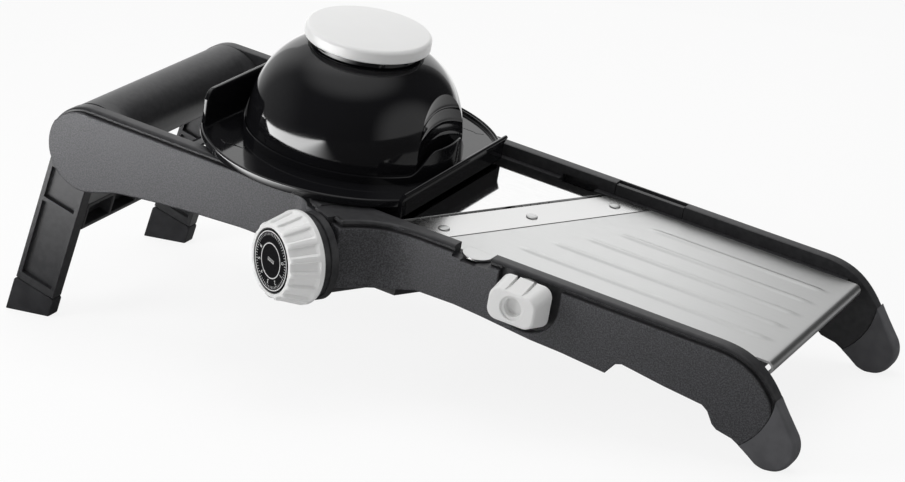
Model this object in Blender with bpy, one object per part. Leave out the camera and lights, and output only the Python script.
"""A mandoline vegetable slicer with a folding stand and a sliding food holder, in metres, +Z up.

Everything on the slicer is drawn in the deck's own frame: x runs along the slope towards the feet, y runs
across, from the dial's side to the far side, and z stands square to the slope, with zero on top of the rails.
One empty tilts that frame and stands it on the table. The origin is on the table, under the middle of the
whole slicer.
"""
import math

import bmesh
import bpy
from mathutils import Vector

for item in list(bpy.data.objects):
    bpy.data.objects.remove(item)

# Clearances, and how far a cut runs past what it cuts
GAP = 0.0003
RUNNING_GAP = 0.0004
OVERRUN = 0.002
SHARP_ANGLE = math.radians(35)
MITRE_SHARE = 0.3
FLATNESS = 0.000001

# Side rails
DECK_TILT = math.radians(10.2)
RAIL_OUTER_Y = 0.0636
RAIL_THICKNESS = 0.008
RAIL_INNER_Y = RAIL_OUTER_Y - RAIL_THICKNESS
RAIL_HEAD_DEPTH = 0.0108
RAIL_WEB = 0.002
RAIL_EDGE = 0.0006
SHORTEST_STEP = 0.0012
RAIL_REACH = 0.2
RAIL_DEPTH = 0.04
LOBE_SHARE = 0.7375
SEAM_SHARE = 0.9685
LOBE_X = -RAIL_REACH * LOBE_SHARE
SEAM_X = RAIL_REACH * SEAM_SHARE
LOBE_RADIUS = 0.02
LOBE_DEPTH = 0.02
LOBE_END_ANGLE = -71.3
UNDERSIDE_SHARES = [
    (-0.6445, -0.8725), (-0.542, -0.80), (-0.44, -0.75), (-0.27, -0.6825), (-0.10, -0.6625),
    (0.2265, -0.6475), (0.294, -0.6675), (0.414, -0.72), (0.4885, -0.73), (0.594, -0.7675),
    (0.6135, -0.6275), (0.6275, -0.6025), (0.7245, -0.665), (0.8165, -0.7075), (0.8305, -0.755),
    (0.8455, -0.875), (0.8575, -0.9175), (0.8935, -0.95)]
BULGE_DEPTH = 0.0108
BULGE_WIDTH = 0.016
NEAR_BULGE_X = -0.019
FAR_BULGE_X = 0.054
BULGE_STEPS = 5
LOW_END_CURVE = 0.0327
LOW_END_CURVE_X = SEAM_X - LOW_END_CURVE
LOW_END_POWER = 2.9
LEG_BAY_END_X = -0.046

# Shoulder and ledge inside each rail, which the sheets lie between and on
SHOULDER_WIDTH = 0.0033
SHOULDER_DEPTH = 0.0048
SHOULDER_SET_BACK = 0.0195
SHOULDER_START_X = LOBE_X + SHOULDER_SET_BACK
REAR_BAR_SET_BACK = 0.024
REAR_BAR_X = SHOULDER_START_X + REAR_BAR_SET_BACK
INFEED_SET_BACK = 0.006
INFEED_START_X = REAR_BAR_X + INFEED_SET_BACK
LEDGE_WIDTH = 0.0026
LEDGE_DEPTH = 0.0025
NEAR_LEDGE_X = 0.008
FAR_LEDGE_X = 0.061
LEDGE_SET_BACK = 0.002

# Soft feet at the low end
SEAM_Z = -0.0151
SEAM_RADIUS = 0.0325
SEAM_ANGLE = 49.5
NOSE_PAST_SEAM = 0.0013
NOSE_X = SEAM_X + NOSE_PAST_SEAM
NOSE_Z = -0.0349
NOSE_RADIUS = 0.0115
NOSE_START_ANGLE = 42
NOSE_END_ANGLE = -115
FOOT_FLAT = 0.0005
TONGUE_SET_BACK = 0.0025
TONGUE_X = SEAM_X - TONGUE_SET_BACK
TONGUE_Z = -0.032
TONGUE_RADIUS = 0.0065
TONGUE_INSET = 0.002

# Sheets
PLATE_GAUGE = 0.001
PLATE_HALF_WIDTH = RAIL_INNER_Y - SHOULDER_WIDTH - GAP
OUTFEED_TOP = -0.0055
INFEED_TOP = -0.0062
INFEED_EDGE_S = 0.0046
LIP_SET_BACK = 0.0111
LIP_X = SEAM_X - LIP_SET_BACK
LIP_RADIUS = 0.003
LIP_LENGTH = 0.0046
LIP_START_X = LIP_X - LIP_LENGTH
LEDGE_END_X = LIP_START_X - LEDGE_SET_BACK
LIP_END_ANGLE = -70
RIDGE_WIDTH = 0.003
RIDGE_HEIGHT = 0.0006
RIDGE_CREST_SHARE = 0.45
RIDGE_PITCH = 0.0158
RIDGE_MIDDLE_Y = 0.001
RIDGE_COUNT = 5
RIDGE_START_S = 0.0445
RIDGE_SET_BACK = 0.0015
RIDGE_END_X = LEDGE_END_X - RIDGE_SET_BACK
TAB_X = 0.0488
TAB_Y = -0.0544
TAB_RADIUS = 0.0068
TAB_TOP = -0.0034
TAB_RAMP_Y = -0.051
TAB_ROOT_Y = -0.0465
TAB_OVERLAP = 0.001

# The diagonal: the blade, the beam under it and the cams' shaft lie at this angle to straight across
DIAGONAL_ANGLE = math.radians(28)
DIAGONAL_X = -0.00907
ALONG = (math.sin(DIAGONAL_ANGLE), math.cos(DIAGONAL_ANGLE))
ACROSS = (math.cos(DIAGONAL_ANGLE), -math.sin(DIAGONAL_ANGLE))

# Blade
BLADE_START_S = 0.008
BLADE_WIDTH = 0.018
BLADE_THICKNESS = 0.0012
BLADE_GRIND = 0.0024
BLADE_END_GAP = 0.0001
BLADE_SEAM = 0.0004
BLADE_CARRIER_START_S = 0.0123
BLADE_CARRIER_END_S = 0.033
BLADE_CARRIER_DEPTH = 0.0024
RIVET_S = 0.0182
RIVET_SHARES = (0.119, 0.518, 0.911)
RIVET_SHANK = 0.0014
RIVET_HEAD = 0.0023
RIVET_HEAD_HEIGHT = 0.0006
RIVET_TAIL = 0.0022

# Cams, shaft and the frame that rides on them
RAMP_CARRIER_DEPTH = 0.002
RAMP_CARRIER_INSET = 0.0026
RAMP_CARRIER_EDGE_S = 0.0036
RAMP_WINDOW_BORDER = 0.0094
RAMP_WINDOW_SET_BACK = 0.017
RAMP_WINDOW_START_X = INFEED_START_X + RAMP_WINDOW_SET_BACK
RAMP_WINDOW_BAR_X = -0.052
RAMP_WINDOW_BAR = 0.006
RAMP_WINDOW_EDGE_S = -0.014
RAMP_WINDOW_MIDDLE_X = -0.013
CAM_REST_RADIUS = 0.0103
CAM_WIDTH = 0.006
CAM_LOW_ANGLE = -114
CAM_HIGH_ANGLE = 126
CAM_DWELL_ANGLE = 196
CAM_FALL = 0.006
CAM_STEPS = 20
NEAR_CAM_Q = 0.020
FAR_CAM_Q = 0.118
SHAFT_RADIUS = 0.003
SHAFT_START_Q = -0.030
SHAFT_END_Q = 0.128
POST_SET_BACK = 0.008
POST_X = INFEED_START_X + POST_SET_BACK
POST_Y = 0.038
POST_RADIUS = 0.0025
POST_TOP = -0.0126
BOSS_WALL = 0.0022
BOSS_BOTTOM = -0.017

RAMP_CARRIER_TOP = INFEED_TOP - PLATE_GAUGE - GAP
RAMP_CARRIER_BOTTOM = RAMP_CARRIER_TOP - RAMP_CARRIER_DEPTH
DIAGONAL_Z = RAMP_CARRIER_BOTTOM - RUNNING_GAP - CAM_REST_RADIUS

# Beam
BEAM_HALF_WIDTH = 0.016
BEAM_WALL = 0.0025
BEAM_TOP = -0.016
BEAM_BOTTOM = -0.0365
COMB_POST_RADIUS = 0.0013
COMB_POST_S = 0.0085
COMB_POST_NEAR_Q = 0.036
COMB_POST_FAR_Q = 0.102
COMB_POST_TOP = -0.0104
FAR_BEARING_START_Q = 0.122
FAR_BEARING_LENGTH = 0.005

# Dial, its housing and the horn of the near rail that surrounds it
HOUSING_TOP_START_S = -0.0062
HOUSING_TOP_END_S = 0.0043
HOUSING_START_S = -0.010
HOUSING_END_S = 0.008
HOUSING_NECK = 0.0065
HOUSING_SHOULDER = 0.009
HOUSING_BOTTOM = -0.039
HOUSING_ROUND = 0.009
HOUSING_FRONT_Q = -0.0148
HOUSING_BACK_Q = 0.032
HORN_BOTTOM = -0.0315
HORN_NEAR_S = -0.013
HORN_NEAR_Q = -0.0148
HORN_FAR_S = 0.0112
HORN_FAR_Q = -0.0126
HORN_LEFT_WIDTH = 0.0125
HORN_RIGHT_WIDTH = 0.035
HORN_ROOT = 0.0036
HORN_LEFT_SHARES = (1, 0.7, 0.4, 0.2)
HORN_RIGHT_SHARES = (0.1, 0.2, 0.35, 0.5, 0.7, 1)
COLLAR_RADIUS = 0.017
COLLAR_THICKNESS = 0.0036
COLLAR_EDGE = 0.001
DIAL_RADIUS = 0.0205
DIAL_FRONT_RADIUS = 0.0165
DIAL_DEPTH = 0.0169
DIAL_BAND = 0.0024
DIAL_ROUND = 0.003
DIAL_BACK_GAP = 0.0004
DIAL_BACK_Q = HOUSING_FRONT_Q - GAP - COLLAR_THICKNESS - DIAL_BACK_GAP
DIAL_FRONT_Q = DIAL_BACK_Q - DIAL_DEPTH
DIAL_ROUND_SHARES = (0.45, 0.8, 1)
FLUTE_COUNT = 16
FLUTE_DEPTH = 0.0011
FLUTE_RUN_OUT_SHARES = (0.6, 0.2, 0)
FLUTE_START_SHARE = 0.1
FLUTE_END_SHARE = 0.7
FACE_RADIUS = 0.014
FACE_THICKNESS = 0.0012
DIAL_FLOOR = 0.002
SCREW_RADIUS = 0.0015
SCREW_HEAD_RADIUS = 0.003
SCREW_HEAD_DEPTH = 0.0015
SCREW_LENGTH = 0.009

# Selector knob, its crankshaft and the comb that it lifts
SELECTOR_X = 0.0775
SELECTOR_Z = -0.0115
RECESS_X = 0.0784
RECESS_RADIUS = 0.0147
RECESS_TOP = -0.0014
RECESS_DEPTH = 0.0033
KNOB_HUB_RADIUS = 0.0084
KNOB_BACK_LENGTH = 0.024
KNOB_BACK_HEIGHT = 0.0192
KNOB_FRONT_LENGTH = 0.0222
KNOB_FRONT_HEIGHT = 0.0148
KNOB_FRONT_DROP = 0.0002
KNOB_OFFSET_X = 0.0005
KNOB_FRONT_OFFSET_X = -0.0003
KNOB_LENGTH_OUT = 0.0121
KNOB_CORNER = 0.005
KNOB_EDGE = 0.0008
KNOB_HOLE_RADIUS = 0.00415
KNOB_HOLE_DEPTH = 0.0045
KNOB_HOLE_STEP = 0.0012
KNOB_HOLE_STEP_DEPTH = 0.001
KNOB_GROOVE_WIDTH = 0.0011
KNOB_GROOVE_DEPTH = 0.0008
KNOB_GROOVE_GAP = 0.004
CRANK_RADIUS = 0.002
CRANK_SOCKET = 0.006
CRANK_DISC_RADIUS = 0.0036
CRANK_DISC = 0.003
CRANK_PIN_RADIUS = 0.0012
CRANK_THROW = 0.0018
CRANK_Y = 0.010
CRANK_GAP_HALF = 0.005
COVER_X = 0.079
COVER_LENGTH = 0.034
COVER_THICKNESS = 0.0026
COVER_TOP = -0.0006
COVER_BOTTOM = -0.0155
COVER_SLOT = 0.002
COMB_START_S = 0.005
COMB_END_S = 0.0115
COMB_START_Q = 0.030
COMB_END_Q = 0.108
COMB_DEPTH = 0.0024
COMB_SINK = 0.0005
TOOTH_HEIGHT = 0.0044
TOOTH_BASE = 0.0015
TOOTH_PITCH = 0.005
TOOTH_THICKNESS = 0.0006
TOOTH_START_S = 0.0052
TOOTH_WIDTH = 0.0016
COMB_END_GAP = 0.001
COMB_ARM_WIDTH = 0.004
COMB_END_BLOCK = 0.012
COMB_BLOCK_UP = 0.0028
COMB_BLOCK_DOWN = 0.0033
COMB_SLOT_HALF_LENGTH = 0.0036
CRANK_SLOT_GAP = 0.0005
COMB_TEETH_TOP = OUTFEED_TOP - PLATE_GAUGE - COMB_SINK
COMB_BLADE_BOTTOM = COMB_TEETH_TOP - TOOTH_HEIGHT - TOOTH_BASE
COMB_TOP = COMB_BLADE_BOTTOM - GAP
COMB_BOTTOM = COMB_TOP - COMB_DEPTH

# Finger notch beside the tab, and the arch in the far rail
NOTCH_DEPTH = 0.0025
NOTCH_START_X = 0.041
NOTCH_END_X = 0.0585
NOTCH_CLEARANCE = 0.0007
NOTCH_POCKET_DEPTH = 0.0059
CHANNEL_HALF_WIDTH = 0.0035
CHANNEL_DEPTH = 0.0054
ARCH_X = 0.044
ARCH_LENGTH = 0.018
ARCH_TOP = -0.0042
ARCH_BOTTOM = -0.0095
ARCH_DEPTH = 0.004

# Handle and cross bars
GRIP_SET_BACK = 0.002
GRIP_X = LOBE_X + GRIP_SET_BACK
GRIP_HALF_LENGTH = 0.0135
GRIP_HALF_HEIGHT = 0.013
REAR_BAR_WALL = 0.004
REAR_BAR_TOP = -0.0068
REAR_BAR_BOTTOM = -0.0256
REAR_BAR_FLANGE = 0.020
REAR_BAR_FLANGE_DEPTH = 0.003
FRONT_BAR_SET_BACK = 0.004
FRONT_BAR_X = LEDGE_END_X - FRONT_BAR_SET_BACK
FRONT_BAR_LENGTH = 0.006
FRONT_BAR_BOTTOM = -0.015

# Folding stand
PIVOT_PAST_LOBE = 0.0069
PIVOT_X = LOBE_X - PIVOT_PAST_LOBE
PIVOT_Z = -0.0229
STAND_LEAN = math.radians(20.8)
LEG_HALF_WIDTH = 0.011
LEG_THICKNESS = 0.007
LEG_SIDE_GAP = 0.0006
LEG_INNER_Y = RAIL_OUTER_Y - RAIL_WEB - LEG_SIDE_GAP - LEG_THICKNESS
GRIP_LEG_GAP = 0.0032
GRIP_HALF_SPAN = LEG_INNER_Y - GRIP_LEG_GAP
LEG_STOP_HEIGHT = 0.0098
BOOT_HEIGHT = 0.0143
LEG_TONGUE = 0.0077
LEG_TONGUE_HALF_WIDTH = 0.008
LEG_TONGUE_INSET = 0.0015
LEG_PANEL_BORDER = 0.0023
LEG_PANEL_DEPTH = 0.0022
LEG_PANEL_TOP = -0.0135
LEG_RIB_Z = -0.031
LEG_RIB = 0.002
LEG_PANEL_MARGIN = 0.0039
DECK_HEIGHT = NOSE_RADIUS - FOOT_FLAT + NOSE_X * math.sin(DECK_TILT) - NOSE_Z * math.cos(DECK_TILT)
PIVOT_HEIGHT = DECK_HEIGHT - PIVOT_X * math.sin(DECK_TILT) + PIVOT_Z * math.cos(DECK_TILT)
LEG_REACH = PIVOT_HEIGHT / math.cos(STAND_LEAN)
LEG_BODY = LEG_REACH - BOOT_HEIGHT
LEG_PANEL_BOTTOM = LEG_PANEL_MARGIN - LEG_BODY
BOOT_WALL = 0.0006
BOOT_SIDE_WALL = 0.0003
BOOT_CORNER = 0.0012
PIN_RADIUS = 0.003
PIN_HEAD_RADIUS = 0.005
PIN_HEAD = 0.0014
PIN_HOLE_DEPTH = 0.0012
STAND_BAR_BACK_X = 0.003
STAND_BAR_DEPTH = 0.008
STAND_BAR_TOP = -0.026
STAND_BAR_HEIGHT = 0.014
STAND_BAR_WALL = 0.002
STAND_BAR_RIBS = 4

# Food holder, drawn about its own middle and set on the rails
HOLDER_X = -0.0466
FLANGE_RADIUS = 0.065
FLANGE_OFFSET_Y = 0.008
FLANGE_BACK_SHARE = 0.8385
FLANGE_FRONT_SHARE = 0.8185
FLANGE_BACK = FLANGE_RADIUS * FLANGE_BACK_SHARE
FLANGE_FRONT = FLANGE_RADIUS * FLANGE_FRONT_SHARE
FLANGE_BOTTOM = GAP
FLANGE_THICKNESS = 0.0016
RIM_WIDTH = 0.0016
RIM_HEIGHT = 0.002
DOME_INSET = 0.0157
DOME_RADIUS = FLANGE_RADIUS - DOME_INSET
DOME_SEAT = 0.0053
FLANGE_HOLE = DOME_RADIUS - DOME_SEAT
BACK_WALL_TOP = 0.0196
BACK_WALL_SHARE = 0.6615
BACK_WALL_HALF_SPAN = FLANGE_RADIUS * BACK_WALL_SHARE
BACK_WALL_CORNER = 0.005
WALL_THICKNESS = 0.002
FRONT_WALL_TOP = 0.0075
FRONT_WALL_BOTTOM = -0.003
FRONT_WALL_SHARE = 0.7
FRONT_WALL_HALF_SPAN = FLANGE_RADIUS * FRONT_WALL_SHARE
FRONT_LIP_SHARE = 0.7385
FRONT_LIP_HALF_SPAN = FLANGE_RADIUS * FRONT_LIP_SHARE
FRONT_LIP_FLARE = 0.0013
FRONT_LIP_BEND_Z = 0.0035
SKIRT_OUTER_Y = 0.0549
SKIRT_THICKNESS = 0.0015
SKIRT_BOTTOM = -0.0028
SKIRT_SHARE = 0.5385
SKIRT_HALF_LENGTH = FLANGE_RADIUS * SKIRT_SHARE
DOME_HEIGHT = 0.050
DOME_POWER = 2.6
DOME_WALL = 0.002
DOME_TOP = 0.046
DOME_STEPS = 48
SCOOP_OUT = 0.001
SCOOP_Z = 0.004
SCOOP_DEPTH = 0.008
SCOOP_SPREAD = 0.028
STEM_RADIUS = 0.006
CAP_RADIUS = 0.0285
CAP_BOTTOM = 0.0495
CAP_HEIGHT = 0.007
CAP_CROWN = 0.0008
CAP_ROUND = 0.0018
NECK_RADIUS = 0.0252
PUSHER_CLEARANCE = 0.0093
PUSHER_RADIUS = DOME_RADIUS - PUSHER_CLEARANCE
PUSHER_FLAT_SHARE = 0.93
PUSHER_FLAT_X = PUSHER_RADIUS * PUSHER_FLAT_SHARE
PUSHER_BOTTOM = 0.003
PUSHER_THICKNESS = 0.003
PUSHER_BOSS_WALL = 0.0025
PUSHER_BOSS_HEIGHT = 0.005
PUSHER_PIN_RADIUS = 0.0011
PUSHER_PIN_TIP = 0.0004
PUSHER_PIN_LENGTH = 0.005
PUSHER_PIN_RING_SHARES = ((0.35, 6), (0.725, 10))

# Steps around round pieces
FINE_STEPS = 32
SMALL_STEPS = 16


def diagonal_point(q, s):
    """The deck's x and y of a point q along the diagonal from the near rail and s to its low side."""
    return (DIAGONAL_X + q * ALONG[0] + s * ACROSS[0], -RAIL_OUTER_Y + q * ALONG[1] + s * ACROSS[1])


def diagonal_crossing(y, s):
    """The point at side distance s from the diagonal's axis where it reaches a given y."""
    q = (y + RAIL_OUTER_Y - s * ACROSS[1]) / ALONG[1]
    return diagonal_point(q, s)


def arc(x, z, radius, start, end, steps):
    """Points along a circle about (x, z), from one angle to another, in degrees."""
    turns = [math.radians(start + (end - start) * i / steps) for i in range(steps + 1)]
    return [(x + radius * math.cos(a), z + radius * math.sin(a)) for a in turns]


def rectangle(x0, x1, z0, z1):
    return [(x0, z0), (x1, z0), (x1, z1), (x0, z1)]


def rounded_rectangle(x, z, length, height, corner, steps=3):
    """An upright rectangle about (x, z) with its corners rounded."""
    right, top = length / 2 - corner, height / 2 - corner
    points = []
    for dx, dz, start in ((right, top, 0), (-right, top, 90), (-right, -top, 180), (right, -top, 270)):
        points += arc(x + dx, z + dz, corner, start, start + 90, steps)
    return points


def offset(outline, distance):
    """The same outline moved outwards by a distance, or inwards where the distance is negative."""
    following = outline[1:] + outline[:1]
    area = sum(a[0] * b[1] - b[0] * a[1] for a, b in zip(outline, following))
    turn = math.copysign(1, area)
    moved = []
    for before, here, after in zip(outline[-1:] + outline[:-1], outline, following):
        first = (Vector(here) - Vector(before)).normalized()
        second = (Vector(after) - Vector(here)).normalized()
        side_1 = Vector((first.y, -first.x)) * turn
        side_2 = Vector((second.y, -second.x)) * turn
        reach = distance / max(1 + side_1.dot(side_2), MITRE_SHARE)
        moved.append(tuple(Vector(here) + (side_1 + side_2) * reach))
    return moved


def solid(name, build):
    """An object made from a bmesh, with its faces turned outwards and its round faces shaded smooth."""
    bmesh.ops.recalc_face_normals(build, faces=build.faces)
    bent = [face for face in build.faces if len(face.verts) == 4
            and abs((face.verts[3].co - face.verts[0].co).dot(face.normal)) > FLATNESS]
    bmesh.ops.triangulate(build, faces=bent)
    mesh = bpy.data.meshes.new(name)
    build.to_mesh(mesh)
    build.free()
    mesh.shade_smooth()
    mesh.set_sharp_from_angle(angle=SHARP_ANGLE)
    made = bpy.data.objects.new(name, mesh)
    bpy.context.scene.collection.objects.link(made)
    return made


def loft(name, rings):
    """A solid through rings of points, each ring with the same number of them, closed at both ends."""
    build = bmesh.new()
    loops = [[build.verts.new(point) for point in ring] for ring in rings]
    for first, second in zip(loops, loops[1:]):
        for i in range(len(first)):
            j = (i + 1) % len(first)
            build.faces.new((first[i], first[j], second[j], second[i]))
    build.faces.new(loops[0])
    build.faces.new(loops[-1])
    return solid(name, build)


def placed(outline, level, plane):
    """An outline's points in space, on the plane named, at a level along the third axis."""
    if plane == "XY":
        return [(a, b, level) for a, b in outline]
    if plane == "XZ":
        return [(a, level, b) for a, b in outline]
    return [(level, a, b) for a, b in outline]


def prism(name, outline, low, high, plane="XY", edge=0):
    """An outline drawn out from one level to another, with its end edges cut off where an edge is given."""
    if not edge:
        return loft(name, [placed(outline, low, plane), placed(outline, high, plane)])
    inner = offset(outline, -edge)
    return loft(name, [placed(inner, low, plane), placed(outline, low + edge, plane),
                       placed(outline, high - edge, plane), placed(inner, high, plane)])


def box(name, x, y, z):
    """A block between a low and a high value on each axis."""
    return prism(name, rectangle(x[0], x[1], y[0], y[1]), z[0], z[1])


def turned(name, profile, steps, axis="Z", centre=(0, 0, 0), waves=None):
    """A round solid from (radius, height) points; waves(i, angle) takes depth off profile point i.

    A profile that starts and ends on the axis is closed there, with a flat face where its end is level.
    """
    build = bmesh.new()
    rings = []
    for i, (radius, height) in enumerate(profile):
        ring = []
        for k in range(steps if radius else 1):
            angle = 2 * math.pi * k / steps
            reach = radius - (waves(i, angle) if waves else 0)
            a, b = reach * math.cos(angle), reach * math.sin(angle)
            point = {"X": (height, a, b), "Y": (a, height, b), "Z": (a, b, height)}[axis]
            ring.append(build.verts.new(Vector(point) + Vector(centre)))
        rings.append(ring)
    pairs = list(zip(rings, rings[1:]))
    if profile[0][0]:
        pairs.append((rings[-1], rings[0]))
    for end, inner in ((0, 1), (-1, -2)):
        if not profile[end][0] and profile[end][1] == profile[inner][1]:
            build.faces.new(rings[inner])
            pairs.remove((rings[0], rings[1]) if end == 0 else (rings[-2], rings[-1]))
            build.verts.remove(rings[end][0])
    for first, second in pairs:
        for k in range(steps):
            j = (k + 1) % steps
            corners = (first[k % len(first)], first[j % len(first)], second[j % len(second)], second[k % len(second)])
            build.faces.new(list(dict.fromkeys(corners)))
    return solid(name, build)


def rod(name, radius, start, end, steps, axis="Z", centre=(0, 0, 0)):
    return turned(name, [(0, start), (radius, start), (radius, end), (0, end)], steps, axis, centre)


def trim(made, point, normal):
    """Take off what lies past a plane, on the side that its normal points to, and close the cut."""
    build = bmesh.new()
    build.from_mesh(made.data)
    everything = build.verts[:] + build.edges[:] + build.faces[:]
    found = bmesh.ops.bisect_plane(build, geom=everything, plane_co=point, plane_no=normal, clear_outer=True)
    edges = [part for part in found["geom_cut"] if isinstance(part, bmesh.types.BMEdge)]
    bmesh.ops.holes_fill(build, edges=edges, sides=0)
    bmesh.ops.recalc_face_normals(build, faces=build.faces)
    build.to_mesh(made.data)
    build.free()
    return made


def combine(made, other, operation):
    other.hide_render = True
    other.display_type = "WIRE"
    if other.parent is None:
        other.parent = made
    step = made.modifiers.new(other.name, "BOOLEAN")
    step.operation = operation
    step.object = other


def cut(made, *others):
    for other in others:
        combine(made, other, "DIFFERENCE")
    return made


def join(made, *others):
    for other in others:
        combine(made, other, "UNION")
    return made


def material(name, colour, roughness, metallic):
    finish = bpy.data.materials.get(name)
    if finish is None:
        finish = bpy.data.materials.new(name)
        finish.use_nodes = True
        shader = finish.node_tree.nodes["Principled BSDF"]
        shader.inputs["Base Color"].default_value = (*colour, 1)
        shader.inputs["Roughness"].default_value = roughness
        shader.inputs["Metallic"].default_value = metallic
    return finish


def grained_plastic():
    return material("grained_plastic", (0.045, 0.045, 0.05), 0.55, 0)


def gloss_black():
    return material("gloss_black", (0.012, 0.012, 0.013), 0.12, 0)


def white_plastic():
    return material("white_plastic", (0.82, 0.82, 0.82), 0.3, 0)


def soft_grey():
    return material("soft_grey", (0.16, 0.16, 0.165), 0.7, 0)


def soft_black():
    return material("soft_black", (0.05, 0.05, 0.055), 0.7, 0)


def polished_steel():
    return material("polished_steel", (0.78, 0.78, 0.78), 0.1, 1)


def satin_steel():
    return material("satin_steel", (0.7, 0.7, 0.7), 0.3, 1)


def empty(name, location, rotation, parent):
    made = bpy.data.objects.new(name, None)
    bpy.context.scene.collection.objects.link(made)
    made.location = location
    made.rotation_euler = rotation
    made.parent = parent
    return made


def put(made, finish, frame, native=False):
    """Give a piece its finish and hang it on a frame. A piece that isn't native is drawn in the deck's frame."""
    made.data.materials.append(finish)
    made.parent = frame
    if frame.parent and not native:
        made.location = -frame.location
    return made


def sides(side, inner, outer):
    """A low and a high y on one side of the slicer, -1 near and 1 far."""
    return sorted((side * inner, side * outer))


def level_on(points, x):
    """The height at x of a line through points that run from left to right."""
    for (x0, z0), (x1, z1) in zip(points, points[1:]):
        if x <= x1:
            return z0 + (z1 - z0) * (x - x0) / (x1 - x0)
    return points[-1][1]


def rail_underside(bulge_x):
    """The lower edge of a rail from left to right, with the bulge that covers one end of the beam."""
    base = [(x * RAIL_REACH, z * RAIL_DEPTH) for x, z in UNDERSIDE_SHARES]
    stations = [x for x, z in base]
    stations += [bulge_x + BULGE_WIDTH * k / 2 for k in range(-BULGE_STEPS, BULGE_STEPS + 1)]
    stations.sort()
    points = []
    for x in stations:
        bulge = BULGE_DEPTH * math.exp(-((x - bulge_x) / BULGE_WIDTH) ** 2 / 2)
        if not points or x - points[-1][0] > SHORTEST_STEP:
            points.append((x, level_on(base, x) - bulge))
    return points


def seam(radius):
    """The round joint between a rail and its soft foot, from the top down."""
    return arc(SEAM_X - SEAM_RADIUS, SEAM_Z, radius, 0, -SEAM_ANGLE, 5)


def rail_outline(bulge_x):
    drop_length = SEAM_X - LOW_END_CURVE_X
    shares = [i / 6 for i in range(6)]
    top = [(LOW_END_CURVE_X + drop_length * t, SEAM_Z * t ** LOW_END_POWER) for t in shares]
    lobe = arc(LOBE_X, -LOBE_DEPTH, LOBE_RADIUS, LOBE_END_ANGLE, -270, 12)
    return top + seam(SEAM_RADIUS) + rail_underside(bulge_x)[::-1] + lobe


def rail_tongue(side, growth):
    y0, y1 = sides(side, RAIL_INNER_Y + TONGUE_INSET - growth, RAIL_OUTER_Y - TONGUE_INSET + growth)
    return rod("tongue", TONGUE_RADIUS + growth, y0, y1, SMALL_STEPS, "Y", (TONGUE_X, 0, TONGUE_Z))


def plain_rail(name, side, bulge_x, ledge_x):
    """What both rails share: the profile, the shoulder, the ledge, the leg's bay and the foot's tongue."""
    y0, y1 = sides(side, RAIL_INNER_Y, RAIL_OUTER_Y)
    rail = prism(name, rail_outline(bulge_x), y0, y1, "XZ", RAIL_EDGE)
    shoulder_top = OUTFEED_TOP - GAP
    shoulder_y = RAIL_INNER_Y - SHOULDER_WIDTH
    shoulder = box("shoulder", (SHOULDER_START_X, LIP_START_X), sides(side, shoulder_y, RAIL_INNER_Y + OVERRUN),
                   (shoulder_top - SHOULDER_DEPTH, shoulder_top))
    ledge_top = OUTFEED_TOP - PLATE_GAUGE - GAP
    ledge = box("ledge", (ledge_x, LEDGE_END_X), sides(side, shoulder_y - LEDGE_WIDTH, RAIL_INNER_Y + OVERRUN),
                (ledge_top - LEDGE_DEPTH, ledge_top))
    bay = box("leg_bay", (LOBE_X - LOBE_RADIUS - OVERRUN, LEG_BAY_END_X),
              sides(side, 0, RAIL_OUTER_Y - RAIL_WEB), (-LOBE_DEPTH - LOBE_RADIUS - OVERRUN, -RAIL_HEAD_DEPTH))
    hole_y = RAIL_OUTER_Y - RAIL_WEB
    hole = rod("pivot_hole", PIN_RADIUS + GAP, *sides(side, hole_y - OVERRUN, hole_y + PIN_HOLE_DEPTH),
               SMALL_STEPS, "Y", (PIVOT_X, 0, PIVOT_Z))
    bore = rod("selector_bore", CRANK_RADIUS + GAP, *sides(side, shoulder_y - LEDGE_WIDTH - OVERRUN,
                                                           RAIL_OUTER_Y - OVERRUN),
               SMALL_STEPS, "Y", (SELECTOR_X, 0, SELECTOR_Z))
    join(rail, shoulder, ledge, rail_tongue(side, 0))
    return cut(rail, bay, hole, bore)


def horn():
    """The part of the near rail that swings out to the dial, seen from above."""
    near = diagonal_point(HORN_NEAR_Q, HORN_NEAR_S)
    far = diagonal_point(HORN_FAR_Q, HORN_FAR_S)
    left = [(near[0] - HORN_LEFT_WIDTH * t, near[1] + (-RAIL_OUTER_Y - near[1]) * (1 - (1 - t) ** 3))
            for t in HORN_LEFT_SHARES]
    right = [(far[0] + HORN_RIGHT_WIDTH * t, far[1] + (-RAIL_OUTER_Y - far[1]) * (1 - (1 - t) ** 3))
             for t in HORN_RIGHT_SHARES]
    root_y = -RAIL_OUTER_Y + HORN_ROOT
    outline = [(left[0][0], root_y)] + left + [near, far] + right + [(right[-1][0], root_y)]
    return prism("horn", outline, HORN_BOTTOM, 0)


def housing_section(growth):
    """The housing's section square to the dial's axis, as (minus s, height over the axis)."""
    narrow = [(HOUSING_TOP_START_S - growth, 0), (HOUSING_TOP_START_S - growth, -HOUSING_NECK)]
    wide = [(HOUSING_START_S - growth, -HOUSING_SHOULDER)]
    middle = (HOUSING_START_S + HOUSING_END_S) / 2
    radius = (HOUSING_END_S - HOUSING_START_S) / 2 + growth
    bottom = arc(middle, HOUSING_BOTTOM + HOUSING_ROUND, radius, 180, 360, 10)
    back = [(HOUSING_END_S + growth, -HOUSING_SHOULDER), (HOUSING_TOP_END_S + growth, -HOUSING_NECK),
            (HOUSING_TOP_END_S + growth, 0)]
    top = OVERRUN if growth else -GAP
    points = [(s, z if z else top) for s, z in narrow + wide + bottom + back]
    return [(-s, z - DIAGONAL_Z) for s, z in points]


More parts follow.
